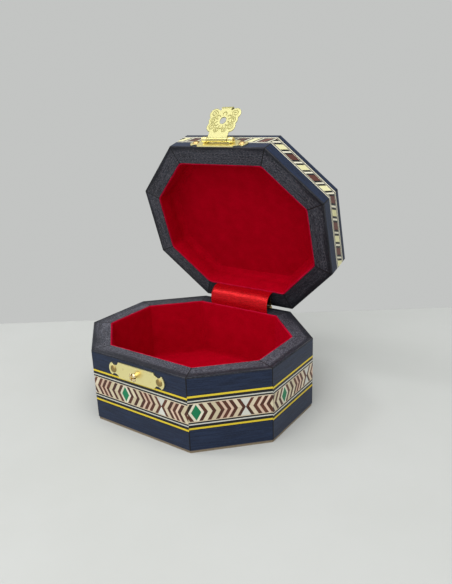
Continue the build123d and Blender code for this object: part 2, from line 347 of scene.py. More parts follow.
def stained_wood(number, in_lid):
    """Navy-stained wood with a blackened rim, its grain running along the stave. The rim has painted
    shade on its outer band and on the strips by the hinge, and painted sheen on its inner part.
    """
    side = SIDES[number]
    length = side_frame(number)[1]
    g = Graph(("lid_wood_" if in_lid else "box_wood_") + side, Specular_IOR_Level=0.28)
    place = stave_place(g, number, in_lid)
    along, inwards, below = (axis(g, place, letter) for letter in "XYZ")
    shift = (number * 0.37 + in_lid * 3.1, 0, number * 0.11)
    grain = g.noise(g.moved(place, shift, scale=(70, 1300, 1300)), 1.0, 5.0, 0.65)
    pores = g.noise(g.moved(place, shift, scale=(800, 3600, 3600)), 1.0, 4.0, 0.75)
    patch = g.noise(g.moved(place, shift, scale=(28, 240, 240)), 1.0, 2.0)
    streak = g.between(grain, 0.36, 0.66)
    fleck = g.between(pores, 0.50, 0.63)
    face = g.mix(streak, (0.0040, 0.0100, 0.031), (0.0115, 0.0235, 0.062))
    face = g.mix(g.math("MULTIPLY", fleck, 0.35), face, (0.035, 0.054, 0.105))
    # The rim is darker in an outer band and lighter inwards: painted shade on its rounded outer edge and
    # painted sheen on its flat inner part. The flecks are grain.
    outer = g.mix(streak, (0.004, 0.005, 0.009), (0.018, 0.020, 0.030))
    outer = g.mix(g.math("MULTIPLY", fleck, 0.45), outer, (0.09, 0.09, 0.115))
    inner = g.mix(streak, (0.011, 0.013, 0.022), (0.056, 0.060, 0.082))
    inner = g.mix(g.math("MULTIPLY", fleck, 0.8), inner, (0.26, 0.255, 0.29))
    wander = g.math("SUBTRACT", patch, 0.5)
    shade_to_sheen_reach = g.math("ADD", inwards, g.math("MULTIPLY", wander, 9 * MM))
    # width of the outer band of painted shade, narrower on the lid
    painted_shade_band = (0.5 * MM, 3.0 * MM) if in_lid else (2.0 * MM, 5.5 * MM)
    rim = g.mix(g.between(shade_to_sheen_reach, *painted_shade_band), outer, inner)
    # painted shade: the rim strips that lie in shadow, by the hinge most, are darkened
    strip_shade = LID_RIM_PAINTED_SHADE if in_lid else BOX_RIM_PAINTED_SHADE
    rim = g.mix(strip_shade.get(side, strip_shade["others"]), rim, (0.002, 0.003, 0.006))
    stained = g.math("ADD", below, g.math("MULTIPLY", wander, 1.0 * MM))
    is_face = g.between(stained, 0.55 * MM, 0.95 * MM)
    colour = g.mix(is_face, rim, face)
    from_edge = g.math("MAXIMUM", g.math("ABSOLUTE", inwards), g.math("ABSOLUTE", below))
    corner = g.between(from_edge, 0.5 * MM, 0.15 * MM)
    scuffed = g.math("MULTIPLY", corner, g.between(patch, 0.42, 0.62))
    colour = g.mix(g.math("MULTIPLY", scuffed, 0.5), colour, (0.10, 0.10, 0.11))
    lean = g.math("MULTIPLY", inwards, math.tan(MITRE))
    from_end = g.math("SUBTRACT", g.math("SUBTRACT", length / 2, g.math("ABSOLUTE", along)), lean)
    mitre = g.between(from_end, 0.5 * MM, 0.2 * MM)
    colour = g.mix(g.math("MULTIPLY", mitre, 0.9), colour, (0.002, 0.002, 0.003))
    rough = g.node("MapRange", 0, {"Value": is_face, "To Min": 0.62, "To Max": 0.42})
    g.set(Base_Color=colour, Roughness=rough)
    relief = g.math("ADD", g.math("MULTIPLY", grain, 0.6), g.math("MULTIPLY", pores, 0.4))
    g.bump(relief, 0.16 * MM, 0.7)
    return g.material


def veneer(name, dark, light, gloss=0.35):
    """One of the dyed or natural woods of the marquetry. Each piece has its own tone."""
    g = Graph(name, Specular_IOR_Level=0.3, Roughness=gloss)
    fibre_place = g.moved(g.place(), rotation=(0.4, 0.3, 0.5), scale=(900, 900, 3200))
    fibre = g.noise(fibre_place, 1.0, 3.0)
    tone = g.node("Attribute", "Fac", attribute_name="tone")
    factor = g.math("ADD", g.math("MULTIPLY", tone, 0.65), g.math("MULTIPLY", fibre, 0.35))
    g.set(Base_Color=g.mix(factor, dark, light))
    g.bump(fibre, 0.03 * MM, 0.5)
    return g.material


def felt_cloth(name, dark, light):
    """Short-napped felt, slightly mottled."""
    g = Graph(name, Roughness=0.95, Specular_IOR_Level=0.02, Sheen_Weight=0.2, Sheen_Roughness=0.45)
    g.set(Sheen_Tint=(1.0, 0.0, 0.06))
    place = g.place()
    mottle = g.noise(place, 160, 3.0, 0.6)
    nap = g.noise(place, 2600, 4.0, 0.7)
    factor = g.math("ADD", g.math("MULTIPLY", mottle, 0.35), g.math("MULTIPLY", nap, 0.65))
    g.set(Base_Color=g.mix(g.between(factor, 0.3, 0.7), dark, light))
    g.bump(nap, 0.25 * MM, 0.7)
    return g.material


def satin():
    """Red satin ribbon: glossy red threads in a fine uneven weave."""
    g = Graph("red_satin", Metallic=0.42, Specular_IOR_Level=0.6, Specular_Tint=(1.0, 0.35, 0.28))
    uv = g.node("TexCoord", "UV")
    threads = g.noise(g.moved(uv, scale=(70, 55, 1)), 1.0, 4.0, 0.7)
    slubs = g.noise(g.moved(uv, scale=(10, 60, 1)), 1.0, 2.0, 0.6)
    factor = g.math("ADD", g.math("MULTIPLY", threads, 0.7), g.math("MULTIPLY", slubs, 0.3))
    g.set(Base_Color=g.mix(g.between(factor, 0.40, 0.60), (0.34, 0.0, 0.003), (0.72, 0.004, 0.014)))
    g.set(Roughness=g.node("MapRange", 0, {"Value": threads, "To Min": 0.30, "To Max": 0.42}))
    g.bump(factor, 0.07 * MM, 0.7)
    return g.material


def polished_brass(name, colour, roughness):
    """Pressed brass with rolling streaks, small spots of tarnish and painted shade in its chased lines.
    """
    g = Graph(name, Metallic=1.0)
    place = g.place()
    rolled_place = g.moved(place, rotation=(0.2, 0.1, 0.3), scale=(300, 2500, 2500))
    streaks = g.noise(rolled_place, 1.0, 3.0)
    spots = g.between(g.noise(place, 700, 3.0), 0.62, 0.74)
    tarnish = tuple(c * k for c, k in zip(colour, (0.75, 0.66, 0.5)))
    clean = g.mix(g.math("MULTIPLY", spots, 0.4), colour, tarnish)
    # painted shade: the chased lines are darkened where shade falls in the grooves
    chased_line_shade = tuple(c * k for c, k in zip(colour, (0.45, 0.42, 0.25)))
    chased = g.node("Attribute", "Fac", attribute_name="chased")
    sheen = {"Value": streaks, "To Min": roughness - 0.06, "To Max": roughness + 0.1}
    g.set(Base_Color=g.mix(chased, clean, chased_line_shade), Roughness=g.node("MapRange", 0, sheen))
    g.bump(streaks, 0.02 * MM, 0.4)
    return g.material


def plain_wood(name, dark, light):
    """Unstained wood of the boards."""
    g = Graph(name, Roughness=0.6)
    grain = g.noise(g.moved(g.place(), scale=(60, 1400, 1400)), 1.0, 4.0, 0.6)
    g.set(Base_Color=g.mix(grain, dark, light))
    g.bump(grain, 0.1 * MM, 0.5)
    return g.material


BROWN = veneer("walnut_brown", (0.034, 0.011, 0.007), (0.145, 0.046, 0.026))
RED_BROWN = veneer("red_brown", (0.070, 0.020, 0.014), (0.150, 0.048, 0.034))
CREAM = veneer("maple_cream", (0.60, 0.49, 0.33), (0.84, 0.74, 0.57))
PINK = veneer("pink_wood", (0.60, 0.41, 0.30), (0.84, 0.64, 0.50))
IVORY = veneer("ivory_white", (0.66, 0.62, 0.47), (0.86, 0.82, 0.66))
BONE = veneer("bone_white", (0.60, 0.60, 0.54), (0.76, 0.76, 0.69))
LEMON = veneer("lemon_wood", (0.68, 0.64, 0.33), (0.86, 0.82, 0.48))
STRAW = veneer("straw_cream", (0.58, 0.49, 0.32), (0.78, 0.70, 0.51))
YELLOW = veneer("yellow_line", (0.66, 0.47, 0.012), (0.86, 0.66, 0.045))
GREEN = veneer("green_dyed", (0.002, 0.17, 0.065), (0.004, 0.26, 0.11))
BLACK = veneer("black_line", (0.003, 0.004, 0.006), (0.010, 0.012, 0.016))
GLUE = veneer("glue_line", (0.020, 0.014, 0.010), (0.035, 0.026, 0.018), 0.8)
FELT_RED = felt_cloth("crimson_felt", (0.34, 0.0, 0.006), (0.50, 0.0, 0.013))
# The cut edge's lighter copy of the felt is painted sheen.
PAINTED_SHEEN_FELT_EDGE = felt_cloth("cut_felt_edge_painted_sheen", (0.30, 0.001, 0.014), (0.56, 0.010, 0.050))
SATIN = satin()
BRASS = polished_brass("pale_brass", (0.98, 0.88, 0.43), 0.36)
# The leaf's brass is a darker, rougher copy of the plates' brass: painted shade that holds back the
# lamp's glare on the leaf.
LEAF_BRASS_PAINTED_SHADE = polished_brass("leaf_brass_painted_shade", (0.58, 0.55, 0.27), 0.52)
SHADED_BRASS = polished_brass("shaded_brass", (0.70, 0.62, 0.26), 0.36)
DEEP_BRASS = polished_brass("deep_brass", (0.52, 0.36, 0.15), 0.30)
STUD_BRASS = polished_brass("stud_brass", (0.90, 0.74, 0.44), 0.16)
# A dark brown copy of the brass: painted shade on the hinge leaves, which lie in shadow behind the
# ribbon, and painted dark reflections on the strike nails.
BRASS_PAINTED_SHADE = polished_brass("brass_painted_shade", (0.36, 0.26, 0.10), 0.38)
PLAIN_WOOD = plain_wood("plain_wood", (0.20, 0.11, 0.05), (0.42, 0.27, 0.14))
SOLE_WOOD = plain_wood("sole_wood", (0.16, 0.12, 0.075), (0.31, 0.24, 0.16))
MARQUETRY = [BROWN, RED_BROWN, CREAM, PINK, IVORY, BONE, LEMON, STRAW, YELLOW, GREEN, BLACK, GLUE]


# ---- marquetry patterns: lists of (outline, material) in (along, up) coordinates ----
def total_width(strips):
    """The width of a run of (material, width in mm) strips."""
    return sum(width for _, width in strips) * MM


SLANT = math.tan(math.radians(30))
ARM_HEIGHT = 4.55 * MM
ARM_STRAY = 0.12 * MM
DIAMOND_HALF = 2.4 * MM
CHEVRONS = [
    (IVORY, 1.4), (BROWN, 1.8), (STRAW, 2.2), (BROWN, 1.8), (STRAW, 2.2), (BROWN, 1.8),
    (PINK, 1.4), (BROWN, 1.8), (PINK, 1.4), (BROWN, 1.8), (CREAM, 2.1), (BROWN, 1.6),
]
HALF_REPEAT = DIAMOND_HALF + total_width(CHEVRONS)
FIRST_DIAMOND = {"front": 22 * MM, "front_right": 4.0 * MM, "right": 11.3 * MM}
BOX_LINES = [(CREAM, 0.45), (BLACK, 0.8), (BONE, 0.65), (BLACK, 1.4), (YELLOW, 1.05), (BLACK, 0.25)]
LID_LINES = [(IVORY, 0.3), (BLACK, 0.55), (IVORY, 0.7)]
LID_PATTERN_HALF = 2.35 * MM
LID_BLOCKS = [
    (RED_BROWN, 4.3), (BLACK, 1.15), (IVORY, 1.25), (BLACK, 1.25),
    (LEMON, 3.8), (BLACK, 1.25), (IVORY, 1.25), (BLACK, 1.15),
]
FIRST_BROWN = 12.8 * MM
BED_DROP = 0.12 * MM
TOP_DEPTH = 0.85 * MM
TOP_BED_DROP = 0.05 * MM
TOP_OUTER_LINES = [(YELLOW, 1.2), (BLACK, 1.2), (IVORY, 1.0), (BLACK, 0.7)]
TOP_INNER_LINES = [(BLACK, 0.7), (IVORY, 1.0), (BLACK, 0.7), (YELLOW, 1.2)]
TOP_FIRST_BROWN = 6 * MM
STAR_SIDE = 11 * MM


def chevron_run(first, length):
    """Diamonds with chevrons pointing away from them to crosses, over a strip from 0 to length."""
    repeat = 2 * HALF_REPEAT
    rise = DIAMOND_HALF / SLANT
    spread = SLANT * ARM_HEIGHT
    slip = {half: random.uniform(-ARM_STRAY, ARM_STRAY) for half in (-1, 1)}
    pattern = []
    centre = first - repeat
    while centre < length + repeat:
        left, right = centre - DIAMOND_HALF, centre + DIAMOND_HALF
        pattern.append(([(left, 0), (centre, -rise), (right, 0), (centre, rise)], GREEN))
        cross = centre + HALF_REPEAT
        for half in (-1, 1):
            y = half * ARM_HEIGHT
            pattern.append(([(cross, 0), (cross + spread, y), (cross - spread, y)], BONE))
            for way in (-1, 1):
                near = DIAMOND_HALF
                for material, width in CHEVRONS:
                    far = near + width * MM
                    arm = clip([(near, 0), (far, 0), (far - spread, y), (near - spread, y)], -1, 0, 0)
                    arm = [(centre + way * x + slip[half], v) for x, v in arm]
                    pattern.append((arm, material))
                    near = far
        centre += repeat
    return pattern


def block_run(first, length):
    """Slanted blocks over a strip from 0 to length. The middle of a brown block is at first."""
    repeat = total_width(LID_BLOCKS)
    spread = SLANT * LID_PATTERN_HALF
    pattern = []
    near = first - LID_BLOCKS[0][1] * MM / 2 - repeat * (1 + first // repeat)
    while near < length + repeat:
        for material, width in LID_BLOCKS:
            far = near + width * MM
            foot = [(near - spread, -LID_PATTERN_HALF), (far - spread, -LID_PATTERN_HALF)]
            head = [(far + spread, LID_PATTERN_HALF), (near + spread, LID_PATTERN_HALF)]
            pattern.append((foot + head, material))
            near = far
    return pattern


def line_run(start, lines, length):
    """Straight lines above and below a pattern that reaches start from the middle."""
    pattern = []
    for half in (-1, 1):
        near = start
        for material, width in lines:
            far = near + width * MM
            low, high = half * near, half * far
            pattern.append(([(0, low), (length, low), (length, high), (0, high)], material))
            near = far
    return pattern


def band_tiles(name, number, middle, place, pattern, half_width):
    """The marquetry strip of one side, made of separate veneer pieces on a dark glue bed."""
    matrix, length = side_frame(number)
    matrix = place @ matrix @ Matrix.Translation((0, middle, 0))
    lean = INLAY_DEPTH * math.tan(MITRE)
    window = [(0, -half_width), (length, -half_width), (length, half_width), (0, half_width)]
    band = Solids(MARQUETRY)
    for outline, material in pattern:
        if area(outline) < 0:
            outline = outline[::-1]
        band.tile(clip_to(outline, window), matrix, material, INLAY_DEPTH, lean, length)
    bed = matrix @ Matrix.Translation((0, 0, -BED_DROP))
    band.tile(window, bed, GLUE, INLAY_DEPTH - BED_DROP, lean, length)
    return band.finish(name)


def box_bands():
    """The wide chevron bands. Most strips follow on from the one before."""
    phase = 0.0
    for step in range(8):
        number = (1 + step) % 8
        length = side_frame(number)[1]
        phase = FIRST_DIAMOND.get(SIDES[number], phase)
        pattern = chevron_run(phase, length) + line_run(ARM_HEIGHT, BOX_LINES, length)
        half_width = ARM_HEIGHT + total_width(BOX_LINES)
        inlay = "inlay_" + SIDES[number]
        middle = (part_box(inlay)[0].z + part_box(inlay)[1].z) / 2
        name = "box_marquetry_" + SIDES[number]
        band = band_tiles(name, number, middle, Matrix(), pattern, half_width)
        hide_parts(inlay)
        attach(band, "box")
        phase = (phase - length) % (2 * HALF_REPEAT)


def lid_bands():
    """The narrow slanted-block bands round the lid."""
    repeat = total_width(LID_BLOCKS)
    phase = FIRST_BROWN
    for step in range(8):
        number = (1 + step) % 8
        length = side_frame(number)[1]
        pattern = block_run(phase, length) + line_run(LID_PATTERN_HALF, LID_LINES, length)
        half_width = LID_PATTERN_HALF + total_width(LID_LINES)
        name = "lid_marquetry_" + SIDES[number]
        band = band_tiles(name, number, LID_BAND_MIDDLE, LID, pattern, half_width)
        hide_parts("lid_inlay_" + SIDES[number])
        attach(band, "lid")
        phase = (phase - length) % repeat


def flat(corners):
    """The plan coordinates of some corners."""
    return [(c.x, c.y) for c in corners]


def lid_top_picture():
    """The marquetry sheet on top of the lid: lines, a ring of blocks and an eight-pointed star."""
    place = LID @ Matrix.Translation((0, 0, LID_TOP))
    top = Solids(MARQUETRY)

    def ring_lines(edge, lines):
        """Adds lines round the plan from edge inwards, and gives back where they end."""
        for material, width in lines:
            outer, inner = flat(octagon(edge)), flat(octagon(edge + width * MM))
            for i in range(8):
                j = (i + 1) % 8
                top.tile([outer[i], outer[j], inner[j], inner[i]], place, material, TOP_DEPTH)
            edge += width * MM
        return edge

    block_edge = ring_lines(TOP_INSET, TOP_OUTER_LINES)
    block_end = block_edge + 2 * LID_PATTERN_HALF
    field_edge = ring_lines(block_end, TOP_INNER_LINES)
    bed = place @ Matrix.Translation((0, 0, -TOP_BED_DROP))
    top.tile(flat(octagon(field_edge)), bed, BLACK, TOP_DEPTH - TOP_BED_DROP)
    corners, inner = octagon(block_edge), octagon(block_end)
    for number in range(8):
        start, end = corners[number], corners[(number + 1) % 8]
        along = (end - start).normalized()
        across = Vector((-along.y, along.x, 0))
        middle = start + across * LID_PATTERN_HALF
        window = flat([start, end, inner[(number + 1) % 8], inner[number]])
        for outline, material in block_run(TOP_FIRST_BROWN, (end - start).length):
            shape = [middle + along * x + across * y for x, y in outline]
            top.tile(clip_to(flat(shape), window), place, material, TOP_DEPTH)
    star(top, place)
    piece = top.finish("lid_top_marquetry")
    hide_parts("lid_top_inlay")
    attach(piece, "lid")


def star(top, place):
    """Eight rhombs round the centre, with a four-sided piece between each pair of points."""

    def at(radius, degrees):
        return (radius * math.cos(math.radians(degrees)), radius * math.sin(math.radians(degrees)))

    tip = 2 * STAR_SIDE * math.cos(MITRE)
    for k in range(8):
        a = 45 * k
        near = at(STAR_SIDE, a + 22.5)
        left, right = at(tip, a), at(tip, a + 45)
        far = (left[0] + right[0] - near[0], left[1] + right[1] - near[1])
        rhomb = [(0, 0), at(STAR_SIDE, a - 22.5), left, near]
        top.tile(rhomb, place, BROWN if k % 2 else STRAW, TOP_DEPTH)
        top.tile([near, left, far, right], place, GREEN if k % 2 else IVORY, TOP_DEPTH)


# ---- felt ----
FELT_STEP = 1.2 * MM
FELT_RIPPLE = 0.12 * MM
CUT_EDGE = 0.4 * MM


def rounded_plan(inset, radius, spacing):
    """Points and inward directions round the plan, with corners of a radius."""
    corners = flat(octagon(inset))
    centres = octagon(inset + radius)
    arc_steps = 4
    points = []
    for i in range(8):
        (x0, y0), (x1, y1) = corners[i - 1], corners[i]
        heading = math.atan2(y1 - y0, x1 - x0)
        for k in range(arc_steps + 1):
            angle = heading - math.pi / 2 + 2 * MITRE * k / arc_steps
            out = Vector((math.cos(angle), math.sin(angle), 0))
            points.append((centres[i] + out * radius, -out))
        start = centres[i] + out * radius
        end = centres[(i + 1) % 8] + out * radius
        steps = max(2, round((end - start).length / spacing))
        points += [(start.lerp(end, k / steps), -out) for k in range(1, steps)]
    return points


def uneven(point, size, amount):
    """A smooth deterministic wander of a surface, of a given feature size."""
    return noise.noise(point / size) * amount


def wall_lining(name, low, high, rim_up, radius, place, swell, fillet):
    """Felt glued round the inside of the walls, with a soft cut edge and a fillet at its deep end. The
    cut edge is a lighter felt: painted sheen.
    """
    path = rounded_plan(WALL, radius, FELT_STEP)
    rim, deep = (high, low) if rim_up else (low, high)
    way = 1 if rim_up else -1
    levels = 30
    section = [(0.0, deep)]
    section += [(FELT, deep + (rim - way * CUT_EDGE - deep) * k / levels) for k in range(levels + 1)]
    section += [(0.8 * FELT, rim - way * 0.12 * MM), (0.5 * FELT, rim)]
    section += [(0.2 * FELT, rim - way * 0.1 * MM), (0.0, rim - way * CUT_EDGE)]
    points = []
    for where, inward in path:
        for offset, z in section:
            depth_share = abs(z - rim) / abs(deep - rim)
            point = where + Vector((0, 0, z))
            if offset > 0:
                fullness = swell * math.sin(math.pi * depth_share) ** 2
                offset += uneven(point, 6 * MM, FELT_RIPPLE) + fullness
                offset += uneven(point, 2.2 * MM, 0.2 * MM) * max(0.0, 1 - depth_share * 12)
                z += uneven(point, 3 * MM, 0.15 * MM) if depth_share < 0.05 else 0
                near_deep = max(0.0, fillet + FELT - abs(z - deep))
                offset += fillet - math.sqrt(max(fillet**2 - near_deep**2, 0.0))
            points.append(where + inward * offset + Vector((0, 0, z)))
    n, m = len(path), len(section)
    faces, slots = [], []
    for i in range(n):
        for j in range(m):
            a, b = i * m + j, i * m + (j + 1) % m
            c, d = ((i + 1) % n) * m + (j + 1) % m, ((i + 1) % n) * m + j
            faces.append([a, d, c, b] if rim_up else [a, b, c, d])
            # The faces of the cut edge take the lighter felt: painted sheen.
            slots.append(1 if levels < j < m - 1 else 0)
    piece = make_object(name, [place @ p for p in points], faces, [FELT_RED, PAINTED_SHEEN_FELT_EDGE], slots)
    smooth_by_angle(piece, 60)
    return piece


def floor_lining(name, low, high, nap_up, radius, place, swell):
    """A felt pad cut to the plan and glued flat, a little fuller away from its edge."""
    path = [p for p, _ in rounded_plan(WALL + FELT, radius, FELT_STEP)]
    rings = 40
    face_z, back_z = (high, low) if nap_up else (low, high)
    way = 1 if nap_up else -1
    points, faces = [], []
    n = len(path)
    for k in range(rings):
        share = 1 - k / rings
        for p in path:
            spot = p * share
            fullness = swell * (1 - math.exp(-(1 - share) * 30))
            rise = fullness + uneven(spot + Vector((0, 0, high)), 9 * MM, FELT_RIPPLE)
            points.append(Vector((spot.x, spot.y, face_z + way * (rise - swell))))
    points.append(Vector((0, 0, face_z)))
    centre = len(points) - 1
    for k in range(rings - 1):
        for i in range(n):
            j = (i + 1) % n
            faces.append([k * n + i, k * n + j, (k + 1) * n + j, (k + 1) * n + i])
    faces += [[(rings - 1) * n + i, (rings - 1) * n + (i + 1) % n, centre] for i in range(n)]
    base = len(points)
    points += [Vector((p.x, p.y, back_z)) for p in path]
    faces += [[base + i, base + (i + 1) % n, (i + 1) % n, i] for i in range(n)]
    faces.append([base + i for i in range(n - 1, -1, -1)])
    if not nap_up:
        faces = [face[::-1] for face in faces]
    piece = make_object(name, [place @ p for p in points], faces, [FELT_RED])
    smooth_by_angle(piece, 60)
    return piece


def linings():
    """The felt round the walls of the box and the lid, on the floor and under the lid's board."""
    around = sum((side_frame(i, WALL)[1] for i in range(8)), 0.0)
    across = (2 * (HALF_WIDTH - WALL - FELT), 2 * (HALF_DEPTH - WALL - FELT))
    pad_area = abs(area(flat(octagon(WALL + FELT))))
    walls = ["wall_" + side for side in SIDES]
    lid_walls = ["lid_wall_" + side for side in SIDES]
    box_wall_felt = wall_lining(
        "box_wall_lining", FLOOR_FELT_LOW, BOX_HEIGHT, rim_up=True,
        radius=2.2 * MM, place=Matrix(), swell=0.15 * MM, fillet=0.8 * MM,
    )
    box_floor_felt = floor_lining(
        "box_floor_lining", FLOOR_FELT_LOW, FLOOR_FELT_HIGH, nap_up=True,
        radius=1.0 * MM, place=Matrix(), swell=0.1 * MM,
    )
    lid_wall_felt = wall_lining(
        "lid_wall_lining", LID_BOTTOM, LID_FELT_HIGH, rim_up=False,
        radius=5.2 * MM, place=LID, swell=0.4 * MM, fillet=4.0 * MM,
    )
    lid_top_felt = floor_lining(
        "lid_top_lining", LID_FELT_LOW, LID_FELT_HIGH, nap_up=False,
        radius=2.0 * MM, place=LID, swell=0.3 * MM,
    )
    box_cut = (around, BOX_HEIGHT - FLOOR_FELT_LOW)
    lid_cut = (around, LID_FELT_HIGH - LID_BOTTOM)
    pieces = [
        (box_wall_felt, "wall_felt", "box", box_cut, None, "stretched", walls),
        (box_floor_felt, "floor_felt", "box", across, pad_area, "laid", ["base_board"]),
        (lid_wall_felt, "lid_wall_felt", "lid", lid_cut, None, "stretched", lid_walls),
        (lid_top_felt, "lid_top_felt", "lid", across, pad_area, "stretched", ["lid_board"]),
    ]
    for piece, node, body, size, cut_area, held, rests_on in pieces:
        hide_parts(node)
        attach(piece, body)


# ---- ribbon stay ----
RIBBON_WIDTH = 40 * MM
RIBBON_THICK = 0.3 * MM
RIBBON_TAIL = 8 * MM
RIBBON_SKEW = 1.3 * MM
RIBBON_WAVE = 0.5 * MM
RIBBON_FOOT_HANDLE = Vector((0, -0.9, 6.2)) * MM
RIBBON_HEAD_HANDLE = Vector((0, -5.2, 0.5)) * MM


def ribbon_stay():
    """The satin strip between the rims. It bows forwards, and it is a little slanted."""
    back = HALF_DEPTH - WALL - RIBBON_THICK / 2
    foot = Vector((0, back, BOX_HEIGHT))
    head = LID @ Vector((0, back, LID_BOTTOM))
    tail_end = LID @ Vector((0, back, LID_BOTTOM + RIBBON_TAIL))
    rise = foot + RIBBON_FOOT_HANDLE
    shoulder = head + RIBBON_HEAD_HANDLE
    line = [foot - Vector((0, 0, RIBBON_TAIL * (1 - k / 6))) for k in range(6)]
    line += geometry.interpolate_bezier(foot, rise, shoulder, head, 30)
    line += [head.lerp(tail_end, k / 6) for k in range(1, 7)]
    run = [0.0]
    for p, q in zip(line, line[1:]):
        run.append(run[-1] + (q - p).length)
    columns = 48
    sides = []
    for face in (1, -1):
        for i, p in enumerate(line):
            ahead = (line[min(i + 1, len(line) - 1)] - line[max(i - 1, 0)]).normalized()
            normal = Vector((0, -ahead.z, ahead.y))
            t = run[i] / run[-1]
            free = max(0.0, math.sin(math.pi * min(max((t - 0.25) / 0.5, 0), 1)))
            for c in range(columns + 1):
                x = (c / columns - 0.5) * RIBBON_WIDTH
                wave = uneven(Vector((x, run[i] * 0.4, 0)), 11 * MM, RIBBON_WAVE) * free
                slant = RIBBON_SKEW * (1 - 2 * t)
                spot = p + normal * (face * RIBBON_THICK / 2 + wave)
                sides.append(Vector((x + slant, spot.y, spot.z)))
    rows, across = len(line), columns + 1
    offset = rows * across
    faces = []
    for i in range(rows - 1):
        for c in range(columns):
            a = i * across + c
            faces.append([a, a + 1, a + across + 1, a + across])
            faces.append([offset + a + across, offset + a + across + 1, offset + a + 1, offset + a])
        for c, flip in ((0, False), (columns, True)):
            a, b = i * across + c, (i + 1) * across + c
            edge = [a, b, offset + b, offset + a]
            faces.append(edge[::-1] if flip else edge)
    for c in range(columns):
        faces.append([c, offset + c, offset + c + 1, c + 1])
        a = (rows - 1) * across + c
        faces.append([a + 1, offset + a + 1, offset + a, a])
    piece = make_object("ribbon_stay_satin", sides, faces, [SATIN], smooth=True)
    layer = piece.data.uv_layers.new(name="weave")
    for loop in piece.data.loops:
        index = loop.vertex_index % offset
        row, column = divmod(index, across)
        layer.data[loop.index].uv = (column / columns, run[row] / run[-1])
    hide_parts("stay_ribbon")
    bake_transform(piece)


# ---- brass hasp leaf ----
LEAF_SHEET = 0.7 * MM
ROLL_RADIUS = 1.45 * MM
ROLL_INNER = 0.73 * MM
ROLL_HALF = 6.6 * MM
HOLE_RADIUS = 2.0 * MM
HOLE_DROP = 10.95 * MM
NECK_HALF = 6.3 * MM
NECK_TOP = 6.4 * MM
LIP_HALF = 3.5 * MM
LIP_DROP = 18.7 * MM
LIP_RADIUS = 1.1 * MM
LIP_INNER = 0.5 * MM
ROSETTE_RADIUS = 7.4 * MM
# Right half, in mm from the middle of the hole: lobes (x, y, radius) and chased scrolls
# (x, y, radius, first angle).
LOBES = [(5.9, -3.7, 3.3), (6.3, 0.2, 3.0), (6.7, 4.2, 3.3)]
SCROLLS = [(6.7, 4.3, 2.3, 250), (6.5, 0.2, 1.9, 150), (5.9, -3.7, 2.2, 120), (2.3, -5.6, 1.8, 60)]
SCROLL_HALF_TURNS = 3.0
PETAL_COUNT = 6
PETAL_REACH = 3.9
PETAL_HALF_LENGTH = 1.25
PETAL_HALF_WIDTH = 1.15
CHASE_DEPTH = 0.13 * MM
CHASE_WIDTH = 0.25 * MM
EDGE_ROUND = 0.18 * MM


def leaf_reach(angle):
    """How far the leaf's outline is from the middle of its hole. Angle 90 degrees points at the lip."""
    dx, dy = math.cos(angle), math.sin(angle)
    reach = ROSETTE_RADIUS
    for x, y, r in LOBES:
        for side in (-1, 1):
            cx, cy, radius = side * x * MM, y * MM, r * MM
            along = cx * dx + cy * dy
            off = cx * cx + cy * cy - along * along
            if along > 0 and off < radius * radius:
                reach = max(reach, along + math.sqrt(radius * radius - off))
    if -dy * NECK_HALF > abs(dx) * HOLE_DROP:
        return HOLE_DROP / -dy
    if -dy * NECK_HALF > abs(dx) * (HOLE_DROP - NECK_TOP):
        return max(reach, NECK_HALF / abs(dx))
    if abs(dx) * (LIP_DROP - HOLE_DROP) < LIP_HALF * dy:
        return max(reach, (LIP_DROP - HOLE_DROP) / dy)
    return reach


def chased_lines():
    """Points along the lines chased into the leaf: spirals in the lobes and petals round the hole."""
    points = []
    for x, y, size, start in SCROLLS:
        for side in (-1, 1):
            for k in range(48):
                t = k / 47
                angle = math.radians(start) - t * SCROLL_HALF_TURNS * math.pi
                radius = size * (1 - 0.8 * t)
                points.append((side * (x + radius * math.cos(angle)), y + radius * math.sin(angle)))
    for k in range(PETAL_COUNT):
        middle = math.radians(90 + 360 * k / PETAL_COUNT)
        for j in range(25):
            turn = math.radians(230) * (j / 24 - 0.5)
            reach = PETAL_REACH + PETAL_HALF_LENGTH * math.cos(turn)
            spread = PETAL_HALF_WIDTH * math.sin(turn)
            x = reach * math.cos(middle) - spread * math.sin(middle)
            y = reach * math.sin(middle) + spread * math.cos(middle)
            points.append((x, y))
    return np.array(points) * MM


def chasing_depth(plan, lines):
    """Depth of the chased lines at points of the leaf."""
    nearest = np.full(len(plan), 1.0)
    for line in lines:
        nearest = np.minimum(nearest, np.hypot(plan[:, 0] - line[0], plan[:, 1] - line[1]))
    return CHASE_DEPTH * np.exp(-((nearest / CHASE_WIDTH) ** 2))


